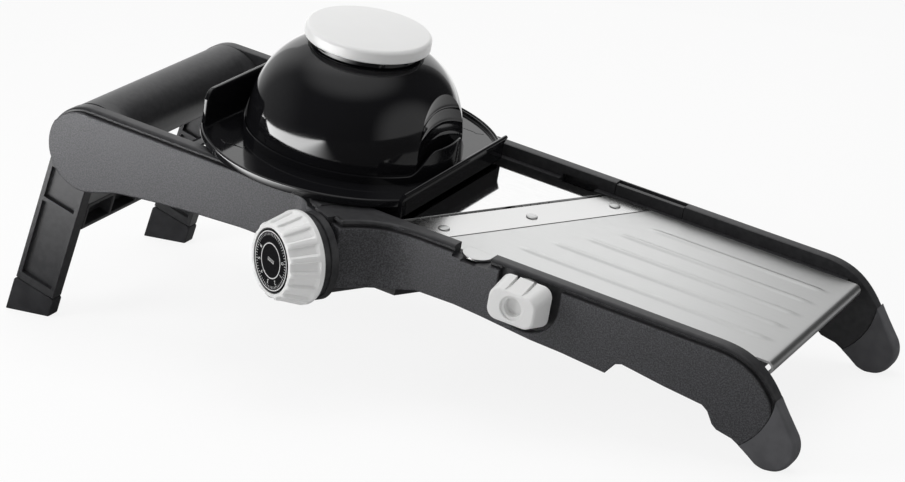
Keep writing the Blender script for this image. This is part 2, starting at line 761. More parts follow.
def near_rail(deck, diagonal):
    rail = join(plain_rail("near_rail", -1, NEAR_BULGE_X, NEAR_LEDGE_X), horn())
    passage = prism("housing_passage", housing_section(GAP), HOUSING_FRONT_Q - OVERRUN, HOUSING_BACK_Q, "YZ")
    trim(passage, ((RAIL_THICKNESS + GAP) / ALONG[1], 0, 0), (ALONG[1], -ACROSS[1], 0))
    passage.parent = diagonal
    recess_outline = (arc(RECESS_X, SELECTOR_Z, RECESS_RADIUS, 180, 360, 12)
                      + [(RECESS_X + RECESS_RADIUS, RECESS_TOP), (RECESS_X - RECESS_RADIUS, RECESS_TOP)])
    recess = prism("selector_recess", recess_outline, -RAIL_OUTER_Y - OVERRUN, -RAIL_OUTER_Y + RECESS_DEPTH, "XZ")
    notch = box("finger_notch", (NOTCH_START_X, NOTCH_END_X), (-RAIL_OUTER_Y - OVERRUN, -PLATE_HALF_WIDTH),
                (-NOTCH_DEPTH, OVERRUN))
    pocket = rod("tab_pocket", TAB_RADIUS + NOTCH_CLEARANCE, -NOTCH_POCKET_DEPTH, OVERRUN, SMALL_STEPS * 2, "Z",
                 (TAB_X, TAB_Y, 0))
    channel = box("finger_channel", (TAB_X - CHANNEL_HALF_WIDTH, TAB_X + CHANNEL_HALF_WIDTH),
                  (-RAIL_OUTER_Y - OVERRUN, TAB_Y), (-CHANNEL_DEPTH, OVERRUN))
    cut(rail, passage, recess, notch, pocket, channel)
    return put(rail, grained_plastic(), deck)


def far_rail(deck):
    rail = plain_rail("far_rail", 1, FAR_BULGE_X, FAR_LEDGE_X)
    arch = box("arch", (ARCH_X - ARCH_LENGTH / 2, ARCH_X + ARCH_LENGTH / 2),
               (PLATE_HALF_WIDTH - LEDGE_WIDTH - OVERRUN, RAIL_INNER_Y + ARCH_DEPTH), (ARCH_BOTTOM, ARCH_TOP))
    notch = box("cover_notch", (COVER_X - COVER_LENGTH / 2 - GAP, COVER_X + COVER_LENGTH / 2 + GAP),
                (RAIL_INNER_Y - GAP, RAIL_INNER_Y + COVER_THICKNESS + COVER_SLOT), (COVER_BOTTOM - GAP, OVERRUN))
    cut(rail, arch, notch)
    return put(rail, grained_plastic(), deck)


def far_bearing_cover(deck):
    cover = box("far_bearing_cover", (COVER_X - COVER_LENGTH / 2, COVER_X + COVER_LENGTH / 2),
                (RAIL_INNER_Y, RAIL_INNER_Y + COVER_THICKNESS), (COVER_BOTTOM, COVER_TOP))
    cut(cover, rod("cover_bore", CRANK_RADIUS + GAP, RAIL_INNER_Y - OVERRUN, RAIL_OUTER_Y, SMALL_STEPS, "Y",
                   (SELECTOR_X, 0, SELECTOR_Z)))
    return put(cover, grained_plastic(), deck)


def soft_foot(name, side, deck, up, floor_point):
    """A soft nose on the low end of a rail, cut flat where it stands on the table."""
    outline = seam(SEAM_RADIUS + GAP)[::-1] + arc(NOSE_X, NOSE_Z, NOSE_RADIUS, NOSE_START_ANGLE, NOSE_END_ANGLE, 14)
    y0, y1 = sides(side, RAIL_INNER_Y, RAIL_OUTER_Y)
    foot = prism(name, outline, y0, y1, "XZ", RAIL_EDGE)
    trim(foot, floor_point, -up)
    return put(cut(foot, rail_tongue(side, GAP)), soft_grey(), deck)


def handle_grip(deck):
    """A round bar whose upper part runs on over the legs to both rails."""
    outline = [(GRIP_X + GRIP_HALF_LENGTH * x, -GRIP_HALF_HEIGHT + GRIP_HALF_HEIGHT * z)
               for x, z in arc(0, 0, 1, 0, 360 - 360 / FINE_STEPS, FINE_STEPS - 1)]
    reach = RAIL_INNER_Y - GAP
    grip = prism("handle_grip", outline, -reach, reach, "XZ")
    for side in (-1, 1):
        cut(grip, box("leg_room", (GRIP_X - 2 * GRIP_HALF_LENGTH, GRIP_X + 2 * GRIP_HALF_LENGTH),
                      sides(side, GRIP_HALF_SPAN, reach + OVERRUN), (-3 * GRIP_HALF_HEIGHT, GAP - RAIL_HEAD_DEPTH)))
    return put(grip, grained_plastic(), deck)


def rear_crossbar(deck):
    """An angle bar that joins the rails and carries the two posts that guide the infeed plate."""
    flange_end = REAR_BAR_X + REAR_BAR_FLANGE
    flange_top = REAR_BAR_BOTTOM + REAR_BAR_FLANGE_DEPTH
    outline = [(REAR_BAR_X, REAR_BAR_BOTTOM), (flange_end, REAR_BAR_BOTTOM), (flange_end, flange_top),
               (REAR_BAR_X + REAR_BAR_WALL, flange_top), (REAR_BAR_X + REAR_BAR_WALL, REAR_BAR_TOP),
               (REAR_BAR_X, REAR_BAR_TOP)]
    bar = prism("rear_crossbar", outline, -PLATE_HALF_WIDTH, PLATE_HALF_WIDTH, "XZ")
    for side in (-1, 1):
        join(bar, rod("guide_post", POST_RADIUS, flange_top - OVERRUN / 2, POST_TOP, SMALL_STEPS, "Z",
                      (POST_X, side * POST_Y, 0)))
    return put(bar, grained_plastic(), deck)


def front_crossbar(deck):
    top = OUTFEED_TOP - PLATE_GAUGE - GAP - LEDGE_DEPTH - GAP
    bar = box("front_crossbar", (FRONT_BAR_X, FRONT_BAR_X + FRONT_BAR_LENGTH), (-PLATE_HALF_WIDTH, PLATE_HALF_WIDTH),
              (FRONT_BAR_BOTTOM, top))
    return put(bar, grained_plastic(), deck)


def diagonal_strip(start_s, end_s, half_span):
    """The outline, from above, of a strip along the diagonal, cut off square at both sides of the deck."""
    return [diagonal_crossing(-half_span, start_s), diagonal_crossing(-half_span, end_s),
            diagonal_crossing(half_span, end_s), diagonal_crossing(half_span, start_s)]


def blade_beam(deck):
    """The trough under the blade, open upwards, with two posts that guide the comb."""
    span = RAIL_INNER_Y - GAP
    beam = prism("blade_beam", diagonal_strip(-BEAM_HALF_WIDTH, BEAM_HALF_WIDTH, span), BEAM_BOTTOM, BEAM_TOP)
    inner = BEAM_HALF_WIDTH - BEAM_WALL
    floor_top = BEAM_BOTTOM + BEAM_WALL
    cut(beam, prism("trough", diagonal_strip(-inner, inner, span + 2 * OVERRUN), floor_top, BEAM_TOP + OVERRUN))
    for q in (COMB_POST_NEAR_Q, COMB_POST_FAR_Q):
        x, y = diagonal_point(q, COMB_POST_S)
        join(beam, rod("comb_post", COMB_POST_RADIUS, floor_top - OVERRUN / 2, COMB_POST_TOP, SMALL_STEPS, "Z",
                       (x, y, 0)))
    return put(beam, grained_plastic(), deck)


def shaft_bore():
    return rod("shaft_bore", SHAFT_RADIUS + GAP, SHAFT_START_Q, SHAFT_END_Q + OVERRUN, SMALL_STEPS, "X")


def far_shaft_bearing(diagonal):
    """A block in the far end of the trough that carries the end of the cams' shaft."""
    half = BEAM_HALF_WIDTH - BEAM_WALL - GAP
    low = BEAM_BOTTOM + BEAM_WALL + GAP - DIAGONAL_Z
    block = box("far_shaft_bearing", (FAR_BEARING_START_Q, FAR_BEARING_START_Q + FAR_BEARING_LENGTH), (-half, half),
                (low, BEAM_TOP - DIAGONAL_Z))
    return put(cut(block, shaft_bore()), grained_plastic(), diagonal, native=True)


def dial_housing(diagonal):
    """The bearing of the shaft at the dial's side, let into the rail from outside."""
    housing = prism("dial_housing", housing_section(0), HOUSING_FRONT_Q, HOUSING_BACK_Q, "YZ")
    trim(housing, (RAIL_THICKNESS / ALONG[1], 0, 0), (ALONG[1], -ACROSS[1], 0))
    return put(cut(housing, shaft_bore()), grained_plastic(), diagonal, native=True)


def dial_collar(diagonal):
    back = HOUSING_FRONT_Q - GAP
    front = back - COLLAR_THICKNESS
    bore = SHAFT_RADIUS + GAP
    profile = [(bore, back), (COLLAR_RADIUS - COLLAR_EDGE, back), (COLLAR_RADIUS, back - COLLAR_EDGE),
               (COLLAR_RADIUS, front), (bore, front)]
    return put(turned("dial_collar", profile, FINE_STEPS, "X"), grained_plastic(), diagonal, native=True)


def dial_profile():
    """The dial's outside, from the back to the front, as (radius, q, share of the flutes' depth)."""
    fluted = DIAL_BACK_Q - DIAL_BAND
    round_start = DIAL_FRONT_Q + DIAL_ROUND
    slope = (DIAL_RADIUS - DIAL_FRONT_RADIUS) / (DIAL_DEPTH - DIAL_BAND)
    shoulder = DIAL_FRONT_RADIUS + slope * DIAL_ROUND
    rounding = [(DIAL_FRONT_RADIUS - DIAL_ROUND * t * t / 4 + slope * DIAL_ROUND * (1 - t),
                 round_start - DIAL_ROUND * math.sin(t * math.pi / 2)) for t in DIAL_ROUND_SHARES]
    outside = [(DIAL_RADIUS - RAIL_EDGE, DIAL_BACK_Q, 0), (DIAL_RADIUS, DIAL_BACK_Q - RAIL_EDGE, 0),
               (DIAL_RADIUS, fluted, 0), (DIAL_RADIUS - slope * FLUTE_DEPTH, fluted - FLUTE_DEPTH, 1),
               (shoulder, round_start, 1)]
    return outside + [(radius, q, share) for (radius, q), share in zip(rounding, FLUTE_RUN_OUT_SHARES)]


def dial_knob(dial):
    """The white dial: a tapered body with flutes, a pocket for its face and a blind bore for the shaft."""
    outside = dial_profile()
    face_pocket = DIAL_FRONT_Q + FACE_THICKNESS + GAP
    head_pocket = face_pocket + SCREW_HEAD_DEPTH + GAP
    bore_end = head_pocket + DIAL_FLOOR
    bore = SHAFT_RADIUS + GAP
    inside = [(FACE_RADIUS + GAP, DIAL_FRONT_Q), (FACE_RADIUS + GAP, face_pocket),
              (SCREW_HEAD_RADIUS + GAP, face_pocket), (SCREW_HEAD_RADIUS + GAP, head_pocket),
              (SCREW_RADIUS + GAP, head_pocket), (SCREW_RADIUS + GAP, bore_end), (bore, bore_end),
              (bore, DIAL_BACK_Q)]
    depths = [share * FLUTE_DEPTH for radius, q, share in outside] + [0] * len(inside)

    def flute(i, angle):
        turn = (angle * FLUTE_COUNT / (2 * math.pi)) % 1
        return depths[i] if FLUTE_START_SHARE < turn < FLUTE_END_SHARE else 0

    profile = [(radius, q) for radius, q, share in outside] + inside
    return put(turned("dial_knob", profile, FLUTE_COUNT * 4, "X", waves=flute), white_plastic(), dial, native=True)


def dial_face(dial):
    back = DIAL_FRONT_Q + FACE_THICKNESS
    return put(rod("dial_face", FACE_RADIUS, DIAL_FRONT_Q, back, FINE_STEPS, "X"), gloss_black(), dial, native=True)


def dial_screw(dial):
    head_front = DIAL_FRONT_Q + FACE_THICKNESS + GAP
    head_back = head_front + SCREW_HEAD_DEPTH
    profile = [(0, head_front), (SCREW_HEAD_RADIUS, head_front), (SCREW_HEAD_RADIUS, head_back),
               (SCREW_RADIUS, head_back), (SCREW_RADIUS, head_back + SCREW_LENGTH), (0, head_back + SCREW_LENGTH)]
    return put(turned("dial_screw", profile, SMALL_STEPS, "X"), satin_steel(), dial, native=True)


def dial_shaft(dial):
    head_back = DIAL_FRONT_Q + FACE_THICKNESS + GAP + SCREW_HEAD_DEPTH
    start = head_back + GAP + DIAL_FLOOR + GAP
    hole = SCREW_RADIUS + GAP
    hole_end = head_back + SCREW_LENGTH + GAP
    end = SHAFT_END_Q - OVERRUN
    profile = [(0, hole_end), (hole, hole_end), (hole, start), (SHAFT_RADIUS, start), (SHAFT_RADIUS, end), (0, end)]
    return put(turned("dial_shaft", profile, SMALL_STEPS, "X"), satin_steel(), dial, native=True)


def cam_radius(angle):
    """The cam's radius at an angle in degrees, seen from the dial: a steady spiral, a fall and a dwell."""
    per_degree = CAM_FALL / (CAM_HIGH_ANGLE - CAM_LOW_ANGLE)
    if angle <= CAM_HIGH_ANGLE:
        return CAM_REST_RADIUS - per_degree * (90 - angle)
    high = CAM_REST_RADIUS + per_degree * (CAM_HIGH_ANGLE - 90)
    share = min((angle - CAM_HIGH_ANGLE) / (CAM_DWELL_ANGLE - CAM_HIGH_ANGLE), 1)
    return high - CAM_FALL * (1 - math.cos(math.pi * share)) / 2


def lift_cam(name, q, dial):
    spiral = [CAM_LOW_ANGLE + (CAM_HIGH_ANGLE - CAM_LOW_ANGLE) * i / CAM_STEPS for i in range(CAM_STEPS + 1)]
    fall = [CAM_HIGH_ANGLE + (CAM_DWELL_ANGLE - CAM_HIGH_ANGLE) * i / 5 for i in range(1, 6)]
    dwell = [CAM_DWELL_ANGLE + (CAM_LOW_ANGLE + 360 - CAM_DWELL_ANGLE) * i / 3 for i in (1, 2)]
    outline = [(-cam_radius(a) * math.cos(math.radians(a)), cam_radius(a) * math.sin(math.radians(a)))
               for a in spiral + fall + dwell]
    cam = prism(name, outline, q - CAM_WIDTH / 2, q + CAM_WIDTH / 2, "YZ")
    return put(cut(cam, shaft_bore()), white_plastic(), dial, native=True)


def infeed_plate(ramp):
    """The polished sheet that the food slides down; the cams set its height."""
    near = diagonal_crossing(-PLATE_HALF_WIDTH, INFEED_EDGE_S)
    far = diagonal_crossing(PLATE_HALF_WIDTH, INFEED_EDGE_S)
    outline = [(INFEED_START_X, -PLATE_HALF_WIDTH), near, far, (INFEED_START_X, PLATE_HALF_WIDTH)]
    return put(prism("infeed_plate", outline, INFEED_TOP - PLATE_GAUGE, INFEED_TOP), polished_steel(), ramp)


def ramp_carrier(ramp):
    """The moulded frame under the infeed plate: its front bar lies on the cams, its sleeves on the posts."""
    half = PLATE_HALF_WIDTH - RAMP_CARRIER_INSET
    start = INFEED_START_X + RAMP_CARRIER_INSET
    outline = [(start, -half), diagonal_crossing(-half, RAMP_CARRIER_EDGE_S),
               diagonal_crossing(half, RAMP_CARRIER_EDGE_S), (start, half)]
    frame = prism("ramp_carrier", outline, RAMP_CARRIER_BOTTOM, RAMP_CARRIER_TOP)
    low, high = RAMP_CARRIER_BOTTOM - OVERRUN, RAMP_CARRIER_TOP + OVERRUN
    inner = half - RAMP_WINDOW_BORDER
    bar_end = RAMP_WINDOW_BAR_X + RAMP_WINDOW_BAR
    band = (2 * inner - 2 * RAMP_WINDOW_BAR) / 3
    for i in range(3):
        y0 = -inner + i * (band + RAMP_WINDOW_BAR)
        y1 = y0 + band
        edge_0, edge_1 = diagonal_crossing(y0, RAMP_WINDOW_EDGE_S), diagonal_crossing(y1, RAMP_WINDOW_EDGE_S)
        middle_end = min(edge_0[0], RAMP_WINDOW_MIDDLE_X)
        cut(frame, box("rear_window", (RAMP_WINDOW_START_X, RAMP_WINDOW_BAR_X), (y0, y1), (low, high)),
            box("middle_window", (bar_end, middle_end), (y0, y1), (low, high)))
        if edge_0[0] > RAMP_WINDOW_MIDDLE_X + 2 * RAMP_WINDOW_BAR:
            start_x = RAMP_WINDOW_MIDDLE_X + RAMP_WINDOW_BAR
            cut(frame, prism("front_window", [(start_x, y0), edge_0, edge_1, (start_x, y1)], low, high))
    for side in (-1, 1):
        centre = (POST_X, side * POST_Y, 0)
        sleeve = POST_RADIUS + GAP
        join(frame, rod("sleeve", sleeve + BOSS_WALL, BOSS_BOTTOM, RAMP_CARRIER_TOP - PLATE_GAUGE, SMALL_STEPS, "Z",
                        centre))
        cut(frame, rod("sleeve_bore", sleeve, BOSS_BOTTOM - OVERRUN, high, SMALL_STEPS, "Z", centre))
    return put(frame, grained_plastic(), ramp)


def outfeed_ridge(y):
    """A pressed ridge along the outfeed plate, with sloping flanks."""
    start = diagonal_crossing(y, RIDGE_START_S)[0]
    middle, length = (start + RIDGE_END_X) / 2, RIDGE_END_X - start
    half = RIDGE_WIDTH / 2
    foot = [(middle + x * (length / 2 - half), y) for x in (1, -1)]
    outline = arc(*foot[0], half, -90, 90, 4) + arc(*foot[1], half, 90, 270, 4)
    crest = offset(outline, -half * (1 - RIDGE_CREST_SHARE))
    return loft("ridge", [placed(outline, OUTFEED_TOP - PLATE_GAUGE / 2, "XY"), placed(outline, OUTFEED_TOP, "XY"),
                          placed(crest, OUTFEED_TOP + RIDGE_HEIGHT, "XY")])


def outfeed_tab():
    """The finger tab: it climbs from the sheet over the rail's ledge and ends round."""
    bottom = OUTFEED_TOP - PLATE_GAUGE
    profile = [(TAB_ROOT_Y, bottom), (TAB_ROOT_Y, OUTFEED_TOP), (TAB_RAMP_Y, TAB_TOP), (TAB_Y, TAB_TOP),
               (TAB_Y, TAB_TOP - PLATE_GAUGE), (TAB_RAMP_Y, TAB_TOP - PLATE_GAUGE)]
    ramp = prism("tab_ramp", profile, TAB_X - TAB_RADIUS, TAB_X + TAB_RADIUS, "YZ")
    end = arc(TAB_X, TAB_Y, TAB_RADIUS, 180, 360, 12)
    overlap = [(TAB_X + TAB_RADIUS, TAB_Y + TAB_OVERLAP), (TAB_X - TAB_RADIUS, TAB_Y + TAB_OVERLAP)]
    return ramp, prism("tab_end", end + overlap, TAB_TOP - PLATE_GAUGE, TAB_TOP)


def outfeed_plate(insert):
    """The sheet that the slices slide over, with ridges, a rolled lip at its low end and the tab."""
    edge_s = BLADE_START_S + BLADE_WIDTH + BLADE_SEAM
    notch = TAB_RADIUS + GAP
    root = TAB_ROOT_Y - TAB_OVERLAP
    half = PLATE_HALF_WIDTH
    end = LIP_START_X + OVERRUN
    outline = [diagonal_crossing(-half, edge_s), (TAB_X - notch, -half), (TAB_X - notch, root), (TAB_X + notch, root),
               (TAB_X + notch, -half), (end, -half), (end, half), diagonal_crossing(half, edge_s)]
    plate = prism("outfeed_plate", outline, OUTFEED_TOP - PLATE_GAUGE, OUTFEED_TOP)
    centre_z = OUTFEED_TOP - LIP_RADIUS
    lip_outline = ([(LIP_START_X, OUTFEED_TOP)] + arc(LIP_X, centre_z, LIP_RADIUS, 90, LIP_END_ANGLE, 8)
                   + arc(LIP_X, centre_z, LIP_RADIUS - PLATE_GAUGE, LIP_END_ANGLE, 90, 8)
                   + [(LIP_START_X, OUTFEED_TOP - PLATE_GAUGE)])
    join(plate, prism("rolled_lip", lip_outline, -half, half, "XZ"), *outfeed_tab())
    for i in range(RIDGE_COUNT):
        join(plate, outfeed_ridge(RIDGE_MIDDLE_Y + (i - (RIDGE_COUNT - 1) / 2) * RIDGE_PITCH))
    return put(plate, satin_steel(), insert)


def rivet_places():
    length = 2 * PLATE_HALF_WIDTH / ALONG[1]
    start = (RAIL_OUTER_Y - PLATE_HALF_WIDTH - RIVET_S * ACROSS[1]) / ALONG[1]
    return [diagonal_point(start + share * length, RIVET_S) for share in RIVET_SHARES]


def rivet_holes(low, high):
    return [rod("rivet_hole", RIVET_SHANK + GAP, low, high, SMALL_STEPS, "Z", (x, y, 0)) for x, y in rivet_places()]


def blade(insert):
    """The slicing blade: its edge is ground from above."""
    bottom = OUTFEED_TOP - PLATE_GAUGE
    top = bottom + BLADE_THICKNESS
    span = PLATE_HALF_WIDTH - BLADE_END_GAP
    end_s = BLADE_START_S + BLADE_WIDTH
    low = diagonal_strip(BLADE_START_S, end_s, span)
    high = diagonal_strip(BLADE_START_S + BLADE_GRIND, end_s, span)
    made = loft("blade", [placed(low, bottom, "XY"), placed(high, top, "XY")])
    return put(cut(made, *rivet_holes(bottom - OVERRUN, top + OVERRUN)), polished_steel(), insert)


def blade_carrier(insert):
    """The moulded strip under the blade."""
    top = OUTFEED_TOP - PLATE_GAUGE - GAP
    span = PLATE_HALF_WIDTH - LEDGE_WIDTH
    made = prism("blade_carrier", diagonal_strip(BLADE_CARRIER_START_S, BLADE_CARRIER_END_S, span),
                 top - BLADE_CARRIER_DEPTH, top)
    return put(cut(made, *rivet_holes(top - BLADE_CARRIER_DEPTH - OVERRUN, top + OVERRUN)), grained_plastic(), insert)


def blade_rivet(name, place, insert):
    seat = OUTFEED_TOP - PLATE_GAUGE + BLADE_THICKNESS + GAP
    underside = OUTFEED_TOP - PLATE_GAUGE - GAP - BLADE_CARRIER_DEPTH - GAP
    crown = seat + RIVET_HEAD_HEIGHT
    profile = [(0, crown), (RIVET_HEAD - RIVET_HEAD_HEIGHT, crown), (RIVET_HEAD, seat + RIVET_HEAD_HEIGHT / 3),
               (RIVET_HEAD, seat), (RIVET_SHANK, seat), (RIVET_SHANK, underside), (RIVET_TAIL, underside),
               (RIVET_TAIL, underside - RIVET_HEAD_HEIGHT), (0, underside - RIVET_HEAD_HEIGHT)]
    return put(turned(name, profile, SMALL_STEPS, "Z", (*place, 0)), satin_steel(), insert)


def selector_knob(selector):
    """The white knob: a round hub in the rail's recess and a tapered block in front of the rail."""
    face = -RAIL_OUTER_Y - GAP
    front = face - KNOB_LENGTH_OUT
    x, z = SELECTOR_X, SELECTOR_Z
    back_ring = rounded_rectangle(x + KNOB_OFFSET_X, z, KNOB_BACK_LENGTH, KNOB_BACK_HEIGHT, KNOB_CORNER)
    front_ring = rounded_rectangle(x + KNOB_FRONT_OFFSET_X, z - KNOB_FRONT_DROP, KNOB_FRONT_LENGTH, KNOB_FRONT_HEIGHT,
                                   KNOB_CORNER)
    knob = loft("selector_knob", [placed(offset(back_ring, -KNOB_EDGE), face, "XZ"),
                                  placed(back_ring, face - KNOB_EDGE, "XZ"),
                                  placed(front_ring, front + KNOB_EDGE, "XZ"),
                                  placed(offset(front_ring, -KNOB_EDGE), front, "XZ")])
    hub_back = -RAIL_OUTER_Y + RECESS_DEPTH - GAP
    join(knob, rod("hub", KNOB_HUB_RADIUS, face - OVERRUN, hub_back, FINE_STEPS, "Y", (x, 0, z)))
    bottom = z - KNOB_FRONT_DROP - KNOB_FRONT_HEIGHT / 2
    step = KNOB_HOLE_RADIUS + KNOB_HOLE_STEP
    grooves = [box("knob_groove", (x + side * KNOB_GROOVE_GAP - KNOB_GROOVE_WIDTH / 2,
                                   x + side * KNOB_GROOVE_GAP + KNOB_GROOVE_WIDTH / 2), (front - OVERRUN, face + GAP),
                   (z + KNOB_FRONT_HEIGHT / 2 - KNOB_GROOVE_DEPTH, z + KNOB_BACK_HEIGHT)) for side in (-1, 1)]
    cut(knob,
        turned("knob_hole", [(0, front - OVERRUN), (step, front - OVERRUN), (step, front + KNOB_HOLE_STEP_DEPTH),
                             (KNOB_HOLE_RADIUS, front + KNOB_HOLE_STEP_DEPTH),
                             (KNOB_HOLE_RADIUS, front + KNOB_HOLE_DEPTH), (0, front + KNOB_HOLE_DEPTH)],
               FINE_STEPS, "Y", (x, 0, z)),
        rod("shaft_socket", CRANK_RADIUS + GAP, hub_back - CRANK_SOCKET, hub_back + OVERRUN, SMALL_STEPS, "Y",
            (x, 0, z)),
        box("knob_foot", (x - KNOB_FRONT_LENGTH / 6, x + KNOB_FRONT_LENGTH / 6), (front - OVERRUN, front + OVERRUN),
            (bottom - OVERRUN, bottom + KNOB_GROOVE_DEPTH)), *grooves)
    return put(knob, white_plastic(), selector)


def selector_shaft(selector):
    """A small crankshaft: its pin, between two discs, lifts the comb in half a turn of the knob."""
    start = -RAIL_OUTER_Y + RECESS_DEPTH - CRANK_SOCKET
    near_disc = CRANK_Y - CRANK_GAP_HALF - CRANK_DISC
    far_disc = CRANK_Y + CRANK_GAP_HALF
    end = RAIL_INNER_Y + COVER_THICKNESS - GAP
    centre = (SELECTOR_X, 0, SELECTOR_Z)
    shaft = turned("selector_shaft", [(0, start), (CRANK_RADIUS, start), (CRANK_RADIUS, near_disc),
                                      (CRANK_DISC_RADIUS, near_disc), (CRANK_DISC_RADIUS, near_disc + CRANK_DISC),
                                      (0, near_disc + CRANK_DISC)], SMALL_STEPS, "Y", centre)
    pin_centre = (SELECTOR_X, 0, SELECTOR_Z - CRANK_THROW)
    join(shaft, rod("crank_pin", CRANK_PIN_RADIUS, near_disc + CRANK_DISC / 2, far_disc + CRANK_DISC / 2, SMALL_STEPS,
                    "Y", pin_centre),
         turned("far_half", [(0, far_disc), (CRANK_DISC_RADIUS, far_disc), (CRANK_DISC_RADIUS, far_disc + CRANK_DISC),
                             (CRANK_RADIUS, far_disc + CRANK_DISC), (CRANK_RADIUS, end), (0, end)],
                SMALL_STEPS, "Y", centre))
    return put(shaft, satin_steel(), selector)


def comb_carrier(comb):
    """A bar in the trough on two posts, with an arm to a slotted block that the crank's pin lifts."""
    bar = prism("comb_carrier", [diagonal_point(COMB_START_Q, COMB_START_S), diagonal_point(COMB_START_Q, COMB_END_S),
                                 diagonal_point(COMB_END_Q, COMB_END_S), diagonal_point(COMB_END_Q, COMB_START_S)],
                COMB_BOTTOM, COMB_TOP)
    arm_y = (CRANK_Y - COMB_ARM_WIDTH / 2, CRANK_Y + COMB_ARM_WIDTH / 2)
    arm_start = diagonal_crossing(CRANK_Y, COMB_END_S - OVERRUN)[0]
    pin_z = SELECTOR_Z - CRANK_THROW
    block_x = (SELECTOR_X - COMB_END_BLOCK / 2, SELECTOR_X + COMB_END_BLOCK / 2)
    arm = box("comb_arm", (arm_start, block_x[0] + OVERRUN), arm_y, (COMB_BOTTOM + GAP, COMB_TOP - GAP))
    block = box("slotted_block", block_x, arm_y, (pin_z - COMB_BLOCK_DOWN, pin_z + COMB_BLOCK_UP))
    join(bar, arm, block)
    slot_radius = CRANK_PIN_RADIUS + CRANK_SLOT_GAP
    straight = COMB_SLOT_HALF_LENGTH - slot_radius
    slot = (arc(SELECTOR_X + straight, pin_z, slot_radius, -90, 90, 6)
            + arc(SELECTOR_X - straight, pin_z, slot_radius, 90, 270, 6))
    cut(bar, prism("crank_slot", slot, arm_y[0] - OVERRUN, arm_y[1] + OVERRUN, "XZ"))
    for q in (COMB_POST_NEAR_Q, COMB_POST_FAR_Q):
        cut(bar, rod("post_bore", COMB_POST_RADIUS + GAP, COMB_BOTTOM - OVERRUN, COMB_TOP + OVERRUN, SMALL_STEPS, "Z",
                     (*diagonal_point(q, COMB_POST_S), 0)))
    return put(bar, grained_plastic(), comb)


def julienne_blade(comb):
    """A strip of thin upright teeth, cut from one sheet, with their points towards the food."""
    start = COMB_START_Q + COMB_END_GAP
    end = COMB_END_Q - COMB_END_GAP
    count = int((end - start) / TOOTH_PITCH)
    first = (start + end - (count - 1) * TOOTH_PITCH) / 2
    base_top = COMB_BLADE_BOTTOM + TOOTH_BASE
    outline = [(start, COMB_BLADE_BOTTOM), (start, base_top)]
    for i in range(count):
        q = first + i * TOOTH_PITCH
        root, tip = TOOTH_THICKNESS / 2, TOOTH_THICKNESS / 4
        outline += [(q - root, base_top), (q - tip, COMB_TEETH_TOP), (q + tip, COMB_TEETH_TOP), (q + root, base_top)]
    outline += [(end, base_top), (end, COMB_BLADE_BOTTOM)]
    rings = [[(*diagonal_point(q, s), z) for q, z in outline] for s in (TOOTH_START_S, TOOTH_START_S + TOOTH_WIDTH)]
    return put(loft("julienne_blade", rings), polished_steel(), comb)


def leg_outline():
    """A leg from the side, in the stand's frame: square at its stop corner, round where it swings past."""
    half = LEG_HALF_WIDTH
    round_top = arc(0, 0, half, 0, 90, 6)
    tongue = LEG_TONGUE_HALF_WIDTH
    foot = [(-half, -LEG_BODY), (-tongue, -LEG_BODY), (-tongue, -LEG_BODY - LEG_TONGUE),
            (tongue, -LEG_BODY - LEG_TONGUE), (tongue, -LEG_BODY), (half, -LEG_BODY)]
    return round_top + [(-half, LEG_STOP_HEIGHT)] + foot


def leg(name, side, stand):
    y0, y1 = sides(side, LEG_INNER_Y, LEG_INNER_Y + LEG_THICKNESS)
    made = prism(name, leg_outline(), y0, y1, "XZ", BOOT_SIDE_WALL)
    inner = LEG_HALF_WIDTH - LEG_PANEL_BORDER
    panels = [(LEG_RIB_Z + LEG_RIB / 2, LEG_PANEL_TOP), (LEG_PANEL_BOTTOM, LEG_RIB_Z - LEG_RIB / 2)]
    for low, high in panels:
        for face, direction in ((y0, -1), (y1, 1)):
            depth = sorted((face + direction * OVERRUN, face - direction * LEG_PANEL_DEPTH))
            cut(made, prism("leg_panel", rectangle(-inner, inner, low, high), *depth, "XZ"))
    for face, direction in ((y0, -1), (y1, 1)):
        depth = sorted((face + direction * OVERRUN, face - direction * LEG_TONGUE_INSET))
        reach = 2 * LEG_HALF_WIDTH
        cut(made, prism("tongue_side", rectangle(-reach, reach, -LEG_BODY - 2 * LEG_TONGUE, -LEG_BODY), *depth, "XZ"))
    cut(made, rod("pivot_bore", PIN_RADIUS + GAP, y0 - OVERRUN, y1 + OVERRUN, SMALL_STEPS, "Y"))
    return put(made, grained_plastic(), stand, native=True)


def leg_boot(name, side, stand, up, floor_point):
    """A soft boot over the tongue of a leg, cut level where it stands on the table."""
    half = LEG_HALF_WIDTH + BOOT_WALL
    top = -LEG_BODY - GAP
    low = 2 * floor_point[2] - top
    outline = [(half - BOOT_CORNER, top), (-half + BOOT_CORNER, top), (-half, top - BOOT_CORNER), (-half, low),
               (half, low), (half, top - BOOT_CORNER)]
    y0, y1 = sides(side, LEG_INNER_Y - BOOT_SIDE_WALL, LEG_INNER_Y + LEG_THICKNESS + BOOT_SIDE_WALL)
    boot = prism(name, outline, y0, y1, "XZ")
    trim(boot, floor_point, -up)
    reach = LEG_TONGUE_HALF_WIDTH + GAP
    bottom = -LEG_BODY - LEG_TONGUE - GAP
    pocket_y = sides(side, LEG_INNER_Y + LEG_TONGUE_INSET - GAP, LEG_INNER_Y + LEG_THICKNESS - LEG_TONGUE_INSET + GAP)
    cut(boot, prism("tongue_pocket", rectangle(-reach, reach, bottom, top + OVERRUN), *pocket_y, "XZ"))
    return put(boot, soft_black(), stand, native=True)


